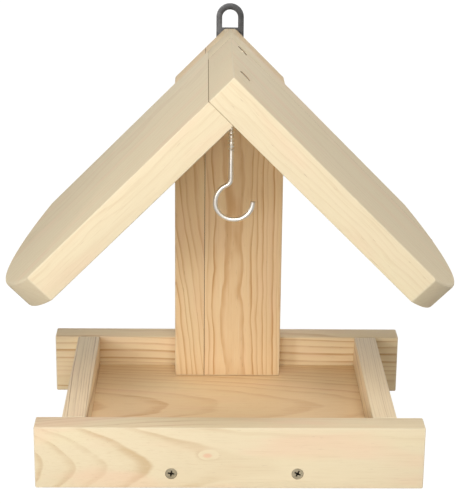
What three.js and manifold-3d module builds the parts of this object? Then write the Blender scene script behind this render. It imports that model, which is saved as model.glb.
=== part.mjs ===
// A wall-hung wooden bird feeder: an open seed tray, an upright post behind it, and a
// pitched roof of two boards with a screw hook under the ridge and a hanger plate at the back.
// Millimetres, +Z up, -Y is the front. The origin is on the ground, under the middle of the feeder.
import * as THREE from "three";
import { mergeVertices } from "three/addons/utils/BufferGeometryUtils.js";
import Module from "manifold-3d";

// --- driving dimensions ---------------------------------------------------------------
// Tray
const RAIL_LENGTH = 240;
const RAIL_HEIGHT = 41;
const RAIL_THICKNESS = 16;
const STRIP_THICKNESS = 15;
const STRIP_INSET = 16; // from the rail's end to the outer face of the side strip
const FLOOR_THICKNESS = 20;
const FLOOR_DEPTH = 135; // front to back, between the rails

// Post
const POST_WIDTH = 72;
const POST_THICKNESS = 20;
const GABLE_FLAT = 7; // the post's gable ends in a flat this wide, not in a point
const NARROW_STAVE_WIDTH = 20; // the left one of the two staves that make the post
const RIDGE_HEIGHT = 262; // top of the ridge above the ground

// Roof
const ROOF_THICKNESS = 20;
const ROOF_DEPTH = 145; // front to back
const ROOF_REACH = 199; // along the slope, from the ridge to the tip of the rounded eave
const EAVE_BULGE = 30; // how far the eave's arc stands out past its corners
const REAR_STAVE_WIDTH = 28; // the right roof board's rear stave
const ROOF_PITCH = Math.PI / 4; // a square butt joint at the ridge needs 45 degrees

// Screw hook
const HOOK_WIRE = 3;
const HOOK_THREAD = 3.8;
const HOOK_THREAD_LENGTH = 50;
const HOOK_TIP = 4; // length of the thread's pointed end
const HOOK_POINT = 0.8; // width of the very end
const HOOK_IN_WOOD = 16; // how deep the thread is screwed into the ridge
const HOOK_SHANK = 17; // plain wire between the thread and the first bend
const HOOK_LOOP_RADIUS = 11.65;
const HOOK_LOOP_OFFSET = 2.05; // loop's centre, to the right of the shank
const HOOK_NECK_RADIUS = 5; // the bend between the shank and the loop

// Hanger plate
const PLATE_WIDTH = 18;
const PLATE_LENGTH = 64;
const PLATE_THICKNESS = 1.5;
const PLATE_ABOVE_RIDGE = 13;
const SLOT_WIDTH = 10.4;
const SLOT_LENGTH = 12;
const PLATE_RIM = 4; // metal over the top of the slot
const PLATE_SCREW_SPACING = 17;
const PLATE_SCREW_RISE = 17; // from the plate's lower end to the middle of its screws

// Screws
const SCREW = { head: 7, shank: 3.5, headDepth: 2.4, rim: 0.4, tip: 4, point: 0.8 };
const SCREW_RECESS = { length: 3.8, width: 0.9, depth: 1.6 };
const SCREW_BITE = 20; // how far the screws reach into the end or edge of the second board
const SCREW_COVER = 6; // wood left past the tip of a screw that ends inside a face
const RAIL_SCREW_SPACING = 78;
const RAIL_SCREW_SHIFT = 3; // the pair sits this far right of the middle
const STRIP_SCREW_FROM_END = 26;
const RIDGE_SCREW_SPACING = 74;
const PLATE_SCREW = { head: 6, headDepth: 1.5 };

// Clearances
const JOINT_GAP = 0.1; // between wooden faces that meet
const SCREW_CLEARANCE = 0.3; // all round a screw or the hook in its hole
const SCREW_SINK = 0.2; // how far a screw's head sits below the wood
const HOLE_MOUTH = 2; // how far a drill stands out of the surface it starts in

// --- derived places -------------------------------------------------------------------
const halfRail = RAIL_LENGTH / 2;
const floorFront = RAIL_THICKNESS + JOINT_GAP;
const floorBack = floorFront + FLOOR_DEPTH;
const backRailFront = floorBack + JOINT_GAP;
const trayBack = backRailFront + RAIL_THICKNESS;
const postBack = backRailFront - JOINT_GAP;
const postFront = postBack - POST_THICKNESS;
const roofBack = postFront - JOINT_GAP;
const roofFront = roofBack - ROOF_DEPTH;
const roofMiddle = roofBack - ROOF_DEPTH / 2;
const stripCentre = halfRail - STRIP_INSET - STRIP_THICKNESS / 2;
const glueLine = -POST_WIDTH / 2 + NARROW_STAVE_WIDTH;
const frontmost = Math.min(0, roofFront);
const middleDepth = (frontmost + trayBack) / 2;
const innerRidge = RIDGE_HEIGHT - ROOF_THICKNESS * Math.SQRT2;
const railScrewHeight = FLOOR_THICKNESS / 2;
const railScrewLength = RAIL_THICKNESS + SCREW_BITE;
const footScrewLength = RAIL_THICKNESS + POST_THICKNESS - SCREW_COVER;
const stripScrewLength = RAIL_HEIGHT - SCREW_COVER;
const ridgeScrewLength = ROOF_THICKNESS + SCREW_BITE;
const roofScrewLength = POST_THICKNESS + SCREW_BITE;
const plateScrewLength = PLATE_THICKNESS + POST_THICKNESS - SCREW_COVER;

const PINE = { color: 0xe8d3a6, roughness: 0.62, metalness: 0 };
const WARM_PINE = { color: 0xd6ab74, roughness: 0.62, metalness: 0 };
const BRIGHT_ZINC = { color: 0xd4d6d6, roughness: 0.28, metalness: 1 };
const DARK_ZINC = { color: 0x6d6f70, roughness: 0.45, metalness: 1 };
const YELLOW_ZINC = { color: 0x8a7140, roughness: 0.4, metalness: 1 };

const feeder = new THREE.Group();
feeder.position.y = -middleDepth;

// --- solids ---------------------------------------------------------------------------
const wasm = await Module();
wasm.setup();

// A closed three.js geometry as a manifold-3d solid.
function solid(geometry) {
  const bare = new THREE.BufferGeometry();
  const flat = geometry.index ? geometry.toNonIndexed() : geometry;
  bare.setAttribute("position", flat.getAttribute("position").clone());
  const merged = mergeVertices(bare, 1e-4);
  return new wasm.Manifold(
    new wasm.Mesh({
      numProp: 3,
      vertProperties: merged.attributes.position.array,
      triVerts: new Uint32Array(merged.index.array),
    }),
  );
}

// A manifold-3d solid back as a three.js geometry.
function geometryOf(made) {
  const mesh = made.getMesh();
  const geometry = new THREE.BufferGeometry();
  geometry.setAttribute("position", new THREE.BufferAttribute(mesh.vertProperties, 3));
  geometry.setIndex(new THREE.BufferAttribute(mesh.triVerts, 1));
  geometry.computeVertexNormals();
  return geometry;
}

function cut(geometry, tools) {
  let made = solid(geometry);
  for (const tool of tools) {
    made = made.subtract(solid(tool));
  }
  return geometryOf(made);
}

function addPiece(name, geometry, finish) {
  const mesh = new THREE.Mesh(geometry, new THREE.MeshStandardMaterial(finish));
  mesh.name = name;
  feeder.add(mesh);
}

// A box from its lowest to its highest corner.
function board(low, high) {
  const box = new THREE.BoxGeometry(high[0] - low[0], high[1] - low[1], high[2] - low[2]);
  return box.translate((low[0] + high[0]) / 2, (low[1] + high[1]) / 2, (low[2] + high[2]) / 2);
}

// --- screws ---------------------------------------------------------------------------
// A countersunk screw along -Y with the top of its head at the origin. Grown by a margin, the
// same outline drills its hole and reaches out through the surface.
function screwBody({ length, head = SCREW.head, headDepth = SCREW.headDepth, grow = 0 }) {
  const headRadius = head / 2 + grow;
  const shankRadius = SCREW.shank / 2 + grow;
  const top = grow > 0 ? HOLE_MOUTH : 0;
  const outline = [
    new THREE.Vector2(0, -length - grow),
    new THREE.Vector2(SCREW.point / 2, -length - grow),
    new THREE.Vector2(shankRadius, -length + SCREW.tip),
    new THREE.Vector2(shankRadius, -headDepth - grow),
    new THREE.Vector2(headRadius, -SCREW.rim - grow),
    new THREE.Vector2(headRadius, top),
    new THREE.Vector2(0, top),
  ];
  return new THREE.LatheGeometry(outline, 16);
}

function crossRecess() {
  const { length, width, depth } = SCREW_RECESS;
  const bar = new THREE.BoxGeometry(length, 2 * depth, width);
  const across = new THREE.BoxGeometry(width, 2 * depth, length);
  return geometryOf(solid(bar).add(solid(across)));
}

// Turns a piece made along -Y so that it goes in at a point, along a direction.
function driven(geometry, point, direction) {
  const turn = new THREE.Quaternion().setFromUnitVectors(
    new THREE.Vector3(0, -1, 0),
    direction.clone().normalize(),
  );
  return geometry.applyQuaternion(turn).translate(point.x, point.y, point.z);
}

// Every screw in the feeder: where its head sits, the way it goes in, and its length.
const INWARD = new THREE.Vector3(0, 1, 0);
const FORWARD = new THREE.Vector3(0, -1, 0);
const UPWARD = new THREE.Vector3(0, 0, 1);
const INTO_RIDGE = new THREE.Vector3(-Math.sin(ROOF_PITCH), 0, -Math.cos(ROOF_PITCH));

function screwAt(name, x, y, z, direction, length, head = {}) {
  const point = new THREE.Vector3(x, y, z).addScaledVector(direction, SCREW_SINK);
  return { name, point, direction, length, ...head };
}

const screws = { front: [], back: [], foot: [], strip: [], ridge: [], roof: [], plate: [] };
for (const [side, way] of [["left", -1], ["right", 1]]) {
  const railX = RAIL_SCREW_SHIFT + (way * RAIL_SCREW_SPACING) / 2;
  screws.front.push(
    screwAt(`front_rail_screw_${side}`, railX, 0, railScrewHeight, INWARD, railScrewLength),
  );
  screws.back.push(
    screwAt(`back_rail_screw_${side}`, railX, trayBack, railScrewHeight, FORWARD, railScrewLength),
  );
  const staveX = way * (POST_WIDTH / 2 - NARROW_STAVE_WIDTH / 2);
  const footZ = (FLOOR_THICKNESS + RAIL_HEIGHT) / 2;
  screws.foot.push(
    screwAt(`post_foot_screw_${side}`, staveX, trayBack, footZ, FORWARD, footScrewLength),
  );
  // The middle of the roof board's thickness lies straight above or below this point of the post.
  const roofZ = RIDGE_HEIGHT - Math.abs(staveX) - ROOF_THICKNESS / 2 / Math.cos(ROOF_PITCH);
  screws.roof.push(
    screwAt(`roof_screw_${side}`, staveX, postBack, roofZ, FORWARD, roofScrewLength),
  );
  for (const [end, y] of [
    ["front", floorFront + STRIP_SCREW_FROM_END],
    ["rear", floorBack - STRIP_SCREW_FROM_END],
  ]) {
    const name = `${side}_strip_screw_${end}`;
    screws.strip.push(screwAt(name, way * stripCentre, y, 0, UPWARD, stripScrewLength));
  }
}
for (const [end, way] of [["front", -1], ["rear", 1]]) {
  const down = ROOF_THICKNESS / 2;
  screws.ridge.push(
    screwAt(
      `ridge_screw_${end}`,
      down * Math.cos(ROOF_PITCH),
      roofMiddle + (way * RIDGE_SCREW_SPACING) / 2,
      RIDGE_HEIGHT - down * Math.sin(ROOF_PITCH),
      INTO_RIDGE,
      ridgeScrewLength,
    ),
  );
}

const plateTop = RIDGE_HEIGHT + PLATE_ABOVE_RIDGE;
const plateFront = postBack + JOINT_GAP;
const plateBack = plateFront + PLATE_THICKNESS;
const slotTop = plateTop - PLATE_RIM;
const slotBottom = slotTop - SLOT_LENGTH;
const plateBottom = plateTop - PLATE_LENGTH;
const plateScrewMiddle = plateBottom + PLATE_SCREW_RISE;
for (const [end, way] of [["upper", 1], ["lower", -1]]) {
  const z = plateScrewMiddle + (way * PLATE_SCREW_SPACING) / 2;
  screws.plate.push(
    screwAt(`hanger_screw_${end}`, 0, plateBack, z, FORWARD, plateScrewLength, PLATE_SCREW),
  );
}

function holes(...groups) {
  return groups.flat().map((screw) =>
    driven(screwBody({ ...screw, grow: SCREW_CLEARANCE }), screw.point, screw.direction),
  );
}

function addScrews() {
  for (const screw of Object.values(screws).flat()) {
    const body = cut(screwBody(screw), [crossRecess()]);
    addPiece(screw.name, driven(body, screw.point, screw.direction), YELLOW_ZINC);
  }
}

// --- tray -----------------------------------------------------------------------------
function addTray() {
  const frontRail = board([-halfRail, 0, 0], [halfRail, RAIL_THICKNESS, RAIL_HEIGHT]);
  addPiece("front_rail", cut(frontRail, holes(screws.front)), PINE);

  const backRail = board([-halfRail, backRailFront, 0], [halfRail, trayBack, RAIL_HEIGHT]);
  addPiece("back_rail", cut(backRail, holes(screws.back, screws.foot)), PINE);

  const floorHalf = halfRail - STRIP_INSET;
  const floor = board([-floorHalf, floorFront, 0], [floorHalf, floorBack, FLOOR_THICKNESS]);
  const floorHoles = holes(screws.front, screws.back, screws.strip);
  addPiece("floor_board", cut(floor, floorHoles), WARM_PINE);

  for (const [side, way] of [["left", -1], ["right", 1]]) {
    const middle = way * stripCentre;
    const strip = board(
      [middle - STRIP_THICKNESS / 2, floorFront, FLOOR_THICKNESS + JOINT_GAP],
      [middle + STRIP_THICKNESS / 2, floorBack, RAIL_HEIGHT],
    );
    addPiece(`${side}_side_strip`, cut(strip, holes(screws.strip)), PINE);
  }
}

// --- post -----------------------------------------------------------------------------
// One stave of the post: an upright board from one x to another, cut to the slope of the roof.
function stave(fromX, toX) {
  const top = (x) => RIDGE_HEIGHT - Math.abs(x) * Math.tan(ROOF_PITCH);
  const foot = FLOOR_THICKNESS + JOINT_GAP;
  const outline = new THREE.Shape();
  outline.moveTo(fromX, foot);
  outline.lineTo(toX, foot);
  outline.lineTo(toX, top(toX));
  if (fromX < 0 && toX > 0) {
    outline.lineTo(GABLE_FLAT / 2, top(GABLE_FLAT / 2));
    outline.lineTo(-GABLE_FLAT / 2, top(GABLE_FLAT / 2));
  }
  outline.lineTo(fromX, top(fromX));
  outline.closePath();
  const made = new THREE.ExtrudeGeometry(outline, { depth: POST_THICKNESS, bevelEnabled: false });
  return made.rotateX(Math.PI / 2).translate(0, postBack, 0);
}

function addPost() {
  const drilled = holes(screws.foot, screws.roof, screws.plate);
  const narrow = stave(-POST_WIDTH / 2, glueLine - JOINT_GAP);
  const wide = stave(glueLine, POST_WIDTH / 2);
  addPiece("post_narrow_stave", cut(narrow, drilled), WARM_PINE);
  addPiece("post_wide_stave", cut(wide, drilled), WARM_PINE);
}

// --- roof -----------------------------------------------------------------------------
// A roof board lying flat: x runs down the slope from the ridge, y from front to back about the
// middle of the roof, and the top face is at z = 0. The eave is an arc through both corners.
function flatRoofBoard(start) {
  const half = ROOF_DEPTH / 2;
  const radius = (half * half + EAVE_BULGE * EAVE_BULGE) / (2 * EAVE_BULGE);
  const angle = Math.asin(half / radius);
  const outline = new THREE.Shape();
  outline.moveTo(start, -half);
  outline.lineTo(ROOF_REACH - EAVE_BULGE, -half);
  outline.absarc(ROOF_REACH - radius, 0, radius, -angle, angle, false);
  outline.lineTo(start, half);
  outline.closePath();
  const shape = { depth: ROOF_THICKNESS, bevelEnabled: false, curveSegments: 12 };
  return new THREE.ExtrudeGeometry(outline, shape).translate(0, 0, -ROOF_THICKNESS);
}

// Tips a flat board to the roof's pitch, facing right or turned about to face left.
function pitched(geometry, facing) {
  const made = geometry.rotateY(ROOF_PITCH);
  if (facing === "left") {
    made.rotateZ(Math.PI);
  }
  return made.translate(0, roofMiddle, RIDGE_HEIGHT);
}

// The half of a flat board in front of, or behind, a line across it.
function splitRoofBoard(geometry, line, part) {
  const reach = ROOF_REACH + ROOF_DEPTH;
  const near = part === "front" ? line : -reach;
  const far = part === "front" ? reach : line;
  const waste = board([-reach, near, -reach], [reach, far, reach]);
  return cut(geometry, [waste]);
}

function addRoof() {
  const hookHole = hookShank(SCREW_CLEARANCE);
  const rightHoles = [...holes(screws.ridge, screws.roof), hookHole];
  const glue = ROOF_DEPTH / 2 - REAR_STAVE_WIDTH;
  const front = splitRoofBoard(flatRoofBoard(0), glue - JOINT_GAP, "front");
  const rear = splitRoofBoard(flatRoofBoard(0), glue, "rear");
  addPiece("right_roof_front_stave", cut(pitched(front, "right"), rightHoles), PINE);
  addPiece("right_roof_rear_stave", cut(pitched(rear, "right"), rightHoles), PINE);

  const left = flatRoofBoard(ROOF_THICKNESS + SCREW_CLEARANCE);
  addPiece("left_roof_board", cut(pitched(left, "left"), rightHoles), PINE);
}

// --- screw hook -----------------------------------------------------------------------
const hookTop = innerRidge + HOOK_IN_WOOD;
const threadEnd = hookTop - HOOK_THREAD_LENGTH;
const neckTop = threadEnd - HOOK_SHANK;

// The threaded shank as a plain pin of the thread's outer size, with a pointed end.
function hookShank(grow) {
  const radius = HOOK_THREAD / 2 + grow;
  const outline = [
    new THREE.Vector2(0, threadEnd - grow),
    new THREE.Vector2(radius, threadEnd - grow),
    new THREE.Vector2(radius, hookTop - HOOK_TIP),
    new THREE.Vector2(HOOK_POINT / 2, hookTop + grow),
    new THREE.Vector2(0, hookTop + grow),
  ];
  return new THREE.LatheGeometry(outline, 16).rotateX(Math.PI / 2).translate(0, roofMiddle, 0);
}

// The wire runs straight down, bends to the left, and comes round in three quarters of a loop.
function hookWirePath() {
  const neckAngle = Math.acos(
    (HOOK_LOOP_OFFSET + HOOK_NECK_RADIUS) / (HOOK_LOOP_RADIUS + HOOK_NECK_RADIUS),
  );
  const loopZ = neckTop - (HOOK_LOOP_RADIUS + HOOK_NECK_RADIUS) * Math.sin(neckAngle);
  const line = new THREE.Path();
  line.moveTo(0, threadEnd + HOOK_WIRE);
  line.lineTo(0, neckTop);
  line.absarc(-HOOK_NECK_RADIUS, neckTop, HOOK_NECK_RADIUS, 0, -neckAngle, true);
  line.absarc(HOOK_LOOP_OFFSET, loopZ, HOOK_LOOP_RADIUS, Math.PI - neckAngle, 2 * Math.PI, false);
  const points = line.getSpacedPoints(60).map((p) => new THREE.Vector3(p.x, roofMiddle, p.y));
  return new THREE.CatmullRomCurve3(points);
}

function addHook() {
  const section = new THREE.Shape().absarc(0, 0, HOOK_WIRE / 2, 0, 2 * Math.PI, false);
  const wire = new THREE.ExtrudeGeometry(section, {
    steps: 60,
    curveSegments: 6,
    extrudePath: hookWirePath(),
  });
  const hook = solid(wire).add(solid(hookShank(0)));
  addPiece("screw_hook", geometryOf(hook), BRIGHT_ZINC);
}

// --- hanger plate ---------------------------------------------------------------------
// A strip with round ends, standing upright with its middle line at x = 0.
function upright(width, bottom, top) {
  const radius = width / 2;
  const outline = new THREE.Shape();
  outline.absarc(0, top - radius, radius, 0, Math.PI, false);
  outline.absarc(0, bottom + radius, radius, Math.PI, 2 * Math.PI, false);
  outline.closePath();
  return outline;
}

// An upright opening with a round top and a flat bottom.
function arched(width, bottom, top) {
  const radius = width / 2;
  const outline = new THREE.Path();
  outline.moveTo(radius, bottom);
  outline.absarc(0, top - radius, radius, 0, Math.PI, false);
  outline.lineTo(-radius, bottom);
  outline.closePath();
  return outline;
}

function addHangerPlate() {
  const outline = upright(PLATE_WIDTH, plateBottom, plateTop);
  outline.holes.push(arched(SLOT_WIDTH, slotBottom, slotTop));
  const flat = { depth: PLATE_THICKNESS, bevelEnabled: false, curveSegments: 12 };
  const plate = new THREE.ExtrudeGeometry(outline, flat);
  plate.rotateX(Math.PI / 2).translate(0, plateBack, 0);
  addPiece("hanger_plate", cut(plate, holes(screws.plate)), DARK_ZINC);
}

addTray();
addPost();
addRoof();
addHook();
addHangerPlate();
addScrews();

export default feeder;
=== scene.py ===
import math

import bmesh
import bpy
from mathutils import Matrix, Vector


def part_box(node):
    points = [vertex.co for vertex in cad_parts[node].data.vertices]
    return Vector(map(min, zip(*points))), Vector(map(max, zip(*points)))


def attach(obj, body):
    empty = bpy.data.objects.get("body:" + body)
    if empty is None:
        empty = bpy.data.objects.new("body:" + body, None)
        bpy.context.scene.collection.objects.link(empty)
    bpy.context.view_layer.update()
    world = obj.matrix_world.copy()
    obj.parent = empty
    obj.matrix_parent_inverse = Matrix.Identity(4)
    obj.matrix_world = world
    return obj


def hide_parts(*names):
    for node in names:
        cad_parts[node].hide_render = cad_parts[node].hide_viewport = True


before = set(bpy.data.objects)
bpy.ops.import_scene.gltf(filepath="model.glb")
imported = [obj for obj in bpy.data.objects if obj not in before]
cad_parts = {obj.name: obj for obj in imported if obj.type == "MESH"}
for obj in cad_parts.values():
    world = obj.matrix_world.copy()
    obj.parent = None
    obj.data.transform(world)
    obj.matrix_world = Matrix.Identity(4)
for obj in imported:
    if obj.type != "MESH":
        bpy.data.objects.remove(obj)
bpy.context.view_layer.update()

# ----------------------------------------------------------------------------------------
# The studio: a white table that glows a little, as a lit acrylic sheet does, in a pale
# room. Two low lamps stand at the front left, a large one hangs in front, one stands at
# each side and one behind.
# ----------------------------------------------------------------------------------------
scene = bpy.context.scene
scene.view_settings.view_transform = "Standard"

camera_data = bpy.data.cameras.new("camera")
camera_data.lens = 114.262
camera_data.sensor_width = 36.0
camera_data.clip_start, camera_data.clip_end = 0.01, 50.0
camera = bpy.data.objects.new("camera", camera_data)
scene.collection.objects.link(camera)
pitch, yaw, roll = (math.radians(a) for a in (18.543, -0.889, -0.554))
turned = Matrix.Rotation(yaw, 3, "Z")
right = turned @ Vector((1, 0, 0))
forward = turned @ Vector((0, math.cos(pitch), -math.sin(pitch)))
down = forward.cross(right)
across = math.cos(roll) * right + math.sin(roll) * down
fall = -math.sin(roll) * right + math.cos(roll) * down
camera.matrix_world = Matrix.Translation((-0.016115, -0.968299, 0.453465)) @ Matrix(
    (across, -fall, -forward)
).transposed().to_4x4()
scene.camera = camera


class Wire:
    """One output of a node. It adds and multiplies as a number does."""

    def __init__(self, tree, socket=None):
        self.tree, self.socket = tree, socket

    def node(self, kind, settings=None, sockets=None, out=0):
        made = self.tree.nodes.new(kind)
        for key, value in (settings or {}).items():
            setattr(made, key, value)
        for key, value in (sockets or {}).items():
            if isinstance(value, Wire):
                self.tree.links.new(value.socket, made.inputs[key])
            else:
                made.inputs[key].default_value = value
        return Wire(self.tree, made.outputs[out])

    def math(self, operation, *values):
        return self.node("ShaderNodeMath", {"operation": operation}, dict(enumerate(values)))

    def __add__(self, other):
        return self.math("ADD", self, other)

    def __sub__(self, other):
        return self.math("SUBTRACT", self, other)

    def __rsub__(self, other):
        return self.math("SUBTRACT", other, self)

    def __mul__(self, other):
        return self.math("MULTIPLY", self, other)

    def __truediv__(self, other):
        return self.math("DIVIDE", self, other)

    __radd__, __rmul__ = __add__, __mul__


def new_material(name):
    """An empty material, its shader and the start of its node sums."""
    made = bpy.data.materials.new(name)
    made.use_nodes = True
    return made, made.node_tree.nodes["Principled BSDF"], Wire(made.node_tree)


world = bpy.data.worlds.new("room")
scene.world = world
world.use_nodes = True
room = Wire(world.node_tree)
world.node_tree.nodes.clear()
dim = room.node("ShaderNodeBackground", None, {"Color": (1.0, 0.985, 0.96, 1), "Strength": 0.12})
pale = room.node("ShaderNodeBackground", None, {"Color": (1, 0.99, 0.97, 1), "Strength": 0.85})
white = room.node("ShaderNodeBackground", None, {"Color": (1, 1, 1, 1), "Strength": 1.0})
mirrored = room.node("ShaderNodeLightPath", out="Is Glossy Ray")
mixed = room.node("ShaderNodeMixShader", None, {0: mirrored, 1: dim, 2: pale})
seen = room.node("ShaderNodeLightPath")
mixed = room.node("ShaderNodeMixShader", None, {0: seen, 1: mixed, 2: white})
world_out = world.node_tree.nodes.new("ShaderNodeOutputWorld")
world.node_tree.links.new(mixed.socket, world_out.inputs["Surface"])


def soft_light(name, turn, rise, far, wide, tall, power):
    """A rectangular lamp that points at the feeder. turn is to the right of the front and
    rise above the table, in degrees; power is what a white board facing it would show."""
    turn, rise = math.radians(turn), math.radians(rise)
    middle = Vector((0, 0, 0.12))
    way = Vector(
        (math.sin(turn) * math.cos(rise), -math.cos(turn) * math.cos(rise), math.sin(rise))
    )
    lamp = bpy.data.lights.new(name, "AREA")
    lamp.shape, lamp.size, lamp.size_y = "RECTANGLE", wide, tall
    lamp.energy = power * math.pi**2 * far**2
    lamp.color = (1.0, 0.975, 0.94)
    held = bpy.data.objects.new(name, lamp)
    held.location = middle + far * way
    held.rotation_euler = (-way).to_track_quat("-Z", "Y").to_euler()
    scene.collection.objects.link(held)


soft_light("front_light", -12, 9, 2.0, 0.5, 0.55, 0.19)
soft_light("left_light", -33, 9, 2.0, 0.3, 0.45, 0.22)
soft_light("high_light", 4, 44, 1.9, 0.8, 1.0, 0.62)
soft_light("right_side", 106, 20, 1.5, 1.1, 1.1, 0.26)
soft_light("left_side", -96, 20, 1.5, 1.1, 1.1, 0.21)
soft_light("rear_light", 180, 14, 1.8, 1.2, 0.8, 0.17)

floor_mesh = bpy.data.meshes.new("table_top")
reach = 5.0
floor_mesh.from_pydata(
    [(-reach, -reach, 0), (reach, -reach, 0), (reach, reach, 0), (-reach, reach, 0)],
    [],
    [(0, 1, 2, 3)],
)
floor_mesh.transform(Matrix.Translation((0, 0, -0.00005)))
table_top = bpy.data.objects.new("table_top", floor_mesh)
scene.collection.objects.link(table_top)
paper, paper_shader, wires = new_material("white_table")
paper_shader.inputs["Base Color"].default_value = (0.55, 0.545, 0.53, 1)
paper_shader.inputs["Roughness"].default_value = 0.8
paper_shader.inputs["Specular IOR Level"].default_value = 0.2
lit = wires.node(
    "ShaderNodeBsdfPrincipled",
    None,
    {
        "Base Color": (0.15, 0.15, 0.15, 1),
        "Roughness": 0.8,
        "Specular IOR Level": 0.0,
        "Emission Color": (1, 1, 1, 1),
        "Emission Strength": 0.95,
    },
)
both = wires.node(
    "ShaderNodeMixShader",
    None,
    {
        0: wires.node("ShaderNodeLightPath"),
        1: Wire(paper.node_tree, paper_shader.outputs[0]),
        2: lit,
    },
)
paper.node_tree.links.new(
    both.socket, paper.node_tree.nodes["Material Output"].inputs["Surface"]
)
floor_mesh.materials.append(paper)

# ----------------------------------------------------------------------------------------
# Front and back rails: planed pine boards, 16 mm thick, that close the tray's long sides.
# Their corners are eased with sandpaper and each has two countersunk screws into the floor.
# ----------------------------------------------------------------------------------------
MM = 0.001
EASED = 0.9 * MM
CORNER_ANGLE, SHADED_ANGLE = math.radians(25), math.radians(19)
# Corners eased less than the first number below get a dark joint mark: the glue line's own colour
# plus painted shade in the gap between the parts.
JOINT_SHADE_EASE, CLOSE_EASE = 0.36, 0.15  # corners eased less than this meet in a glue line
HEAD, HEAD_DEPTH, HEAD_RIM, SHANK, SUNK = 7.0 * MM, 2.4 * MM, 0.4 * MM, 3.5 * MM, 0.2 * MM


def settled(piece):
    """The piece's mesh with its modifiers worked in."""
    mesh = bpy.data.meshes.new_from_object(
        piece.evaluated_get(bpy.context.evaluated_depsgraph_get())
    )
    piece.modifiers.clear()
    piece.data = mesh
    mesh.name = piece.name


def placed(name, mesh):
    piece = bpy.data.objects.new(name, mesh)
    scene.collection.objects.link(piece)
    return piece


def board(name, outline, run, grain, tight=None, holes=(), wood=None, widest=1.0):
    """A board from its outline and thickness, its corners eased, its screw holes drilled.
    tight(point) is how much a corner is eased, little where it meets its neighbour in a
    glue line or seam, and at most widest."""
    shape = bmesh.new()
    low = [shape.verts.new(p) for p in outline]
    high = [shape.verts.new(Vector(p) + run) for p in outline]
    shape.faces.new(low)
    shape.faces.new(high[::-1])
    for i in range(len(outline)):
        j = (i + 1) % len(outline)
        shape.faces.new((low[j], low[i], high[i], high[j]))
    bmesh.ops.recalc_face_normals(shape, faces=shape.faces)
    weight = shape.edges.layers.float.new("bevel_weight_edge")
    for edge in shape.edges:
        middle = (edge.verts[0].co + edge.verts[1].co) / 2
        if edge.calc_face_angle() > CORNER_ANGLE:
            edge[weight] = (tight(middle) if tight else 1.0) / widest
    mesh = bpy.data.meshes.new(name)
    shape.to_mesh(mesh)
    shape.free()
    mesh.materials.append(wood)
    mesh.materials.append(None)
    piece = placed(name, mesh)
    ease = piece.modifiers.new("eased corners", "BEVEL")
    ease.limit_method, ease.width, ease.segments, ease.material = "WEIGHT", EASED * widest, 3, 1
    ease.use_clamp_overlap = True
    drills = []
    for place, aim, width, mouth, length in holes:
        drills.append(drill(place, aim, width, mouth, length))
        cut = piece.modifiers.new("hole", "BOOLEAN")
        cut.operation, cut.solver, cut.object = "DIFFERENCE", "EXACT", drills[-1]
    bpy.context.view_layer.update()
    settled(piece)
    for spent in drills:
        bpy.data.objects.remove(spent)
    mesh = piece.data
    mark_cuts(mesh, grain, tight, holes)
    while len(mesh.materials) > 1:
        mesh.materials.pop(index=len(mesh.materials) - 1)
    mesh.materials[0] = wood
    mesh.shade_smooth()
    mesh.set_sharp_from_angle(angle=SHADED_ANGLE)
    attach(piece, "feeder")
    return piece


def drill(place, aim, width, mouth, length):
    """A countersink and its hole: place is the head's middle, aim points out of the wood."""
    shape = bmesh.new()
    around = 48
    step = 2 * math.pi / around
    lift = 1.0 * MM
    slope = (mouth - width) / 2 / (HEAD_DEPTH - HEAD_RIM)
    if mouth > width:
        steps = [
            (lift, mouth / 2),
            (-HEAD_RIM, mouth / 2),
            (-HEAD_DEPTH, mouth / 2 - slope * (HEAD_DEPTH - HEAD_RIM)),
            (-length, width / 2),
        ]
    else:
        steps = [(lift, width / 2), (-length, width / 2)]
    rings = []
    for z, r in steps:
        rings.append(
            [
                shape.verts.new(
                    (r * math.cos(step * k), r * math.sin(step * k), z)
                )
                for k in range(around)
            ]
        )
    for upper, lower in zip(rings, rings[1:]):
        for k in range(around):
            n = (k + 1) % around
            shape.faces.new((upper[k], lower[k], lower[n], upper[n]))
    shape.faces.new(rings[0])
    shape.faces.new(rings[-1][::-1])
    bmesh.ops.recalc_face_normals(shape, faces=shape.faces)
    shape.transform(
        Matrix.Translation(place) @ Vector(aim).to_track_quat("Z", "Y").to_matrix().to_4x4()
    )
    mesh = bpy.data.meshes.new("drill")
    shape.to_mesh(mesh)
    shape.free()
    cutter = placed("drill", mesh)
    cutter.hide_render = True
    return cutter


# The dark joint mark is painted shade in narrow seams, and painted shade of the recess on the
# walls of screw holes.
FAINT, HOLE_SHADE = 0.15, 0.75  # how dark the closest joints and the walls of holes are


def mark_cuts(mesh, grain, tight, holes):
    """Marks the faces sawn across the grain, the eased corners, and the glue lines, seams and hole
    walls that take the dark joint colour with painted shade.
    """
    across_grain = mesh.attributes.new("sawn_end", "FLOAT", "FACE")
    eased = mesh.attributes.new("eased", "FLOAT", "FACE")
    dark_joint_and_shade = mesh.attributes.new("dark_joint_and_shade", "FLOAT", "FACE")
    for face in mesh.polygons:
        lean = abs(face.normal.dot(grain))
        across_grain.data[face.index].value = min(1.0, max(0.0, (lean - 0.35) / 0.5))
        if face.material_index == 1:
            close = tight(face.center) if tight else 1.0
            mark = dark_joint_and_shade if close < JOINT_SHADE_EASE else eased
            mark.data[face.index].value = FAINT if close < CLOSE_EASE else 1.0
        face.material_index = 0
        for place, aim, _, mouth, _ in holes:
            off = face.center - place
            # The walls of screw holes get painted shade, as the recess would be shaded.
            if off.dot(aim) < -0.02 * MM and off.cross(aim).length < mouth * 0.52:
                dark_joint_and_shade.data[face.index].value = HOLE_SHADE


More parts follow.
